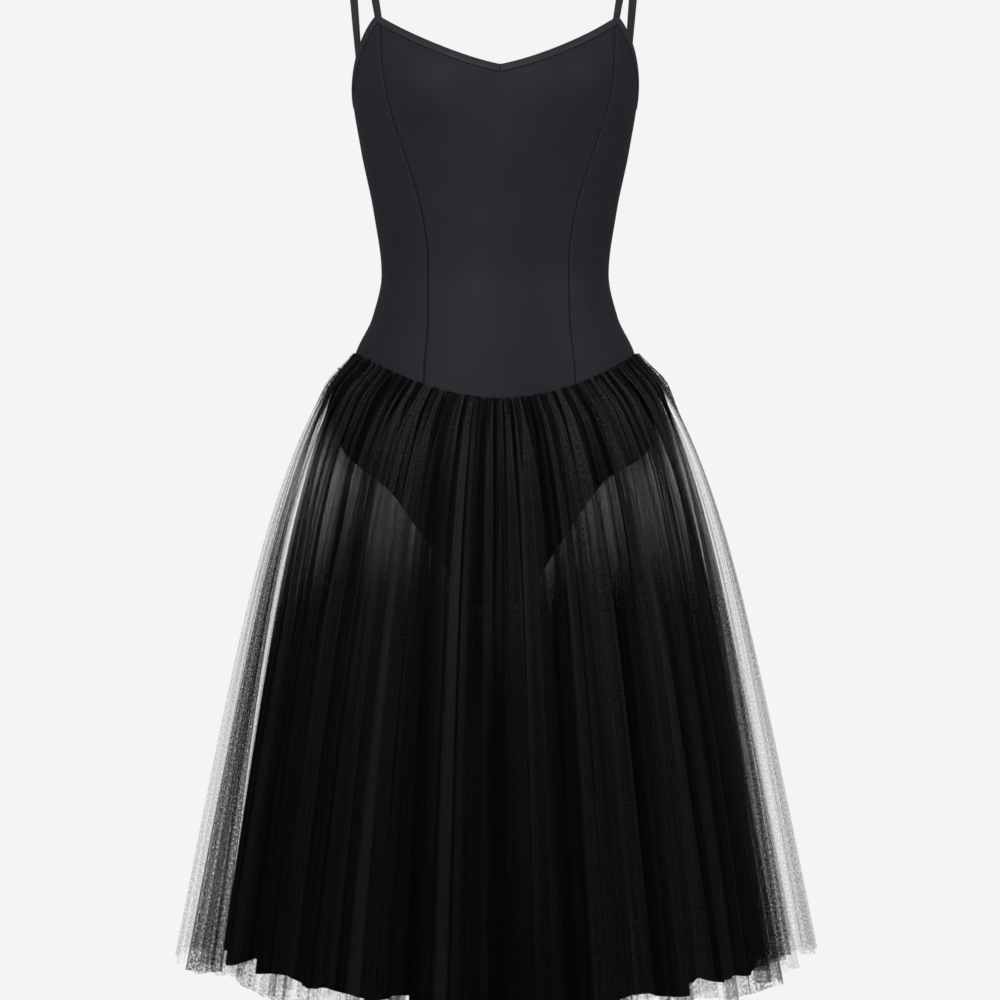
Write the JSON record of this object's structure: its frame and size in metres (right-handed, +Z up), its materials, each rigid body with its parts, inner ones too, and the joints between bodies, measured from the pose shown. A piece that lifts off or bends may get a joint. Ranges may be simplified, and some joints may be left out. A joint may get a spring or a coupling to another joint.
{
  "type": "romantic tutu skirt sewn to a camisole leotard bodice",
  "caption": "Long romantic ballet tutu of gathered soft tulle layers sewn round the dipped basque line of a camisole leotard with thin shoulder straps.",
  "frame": {"origin": "midway between the tops of the two shoulder straps, where the wearer's shoulders carry the garment", "axes": "+Z up, the front of the garment faces -Y, the wearer's left is +X"},
  "size_m": [0.6574, 0.615, 1.178],
  "materials": {
    "jersey": "matte black nylon and elastane jersey with a faint cool sheen",
    "edging": "black elastic binding and strap",
    "tulle": "soft sheer black tulle"
  },
  "bodies": {
    "root": {"front_centre_panel": "jersey", "front_side_panel_left": "jersey", "front_side_panel_right": "jersey", "back_panel": "jersey", "neck_binding_left": "edging", "neck_binding_right": "edging", "armhole_binding_left": "edging", "armhole_binding_right": "edging", "back_neck_binding": "edging", "strap_left": "edging", "strap_right": "edging", "skirt_outer_layer": "tulle", "skirt_middle_layer": "tulle", "skirt_inner_layer": "tulle"}
  },
  "joints": []
}
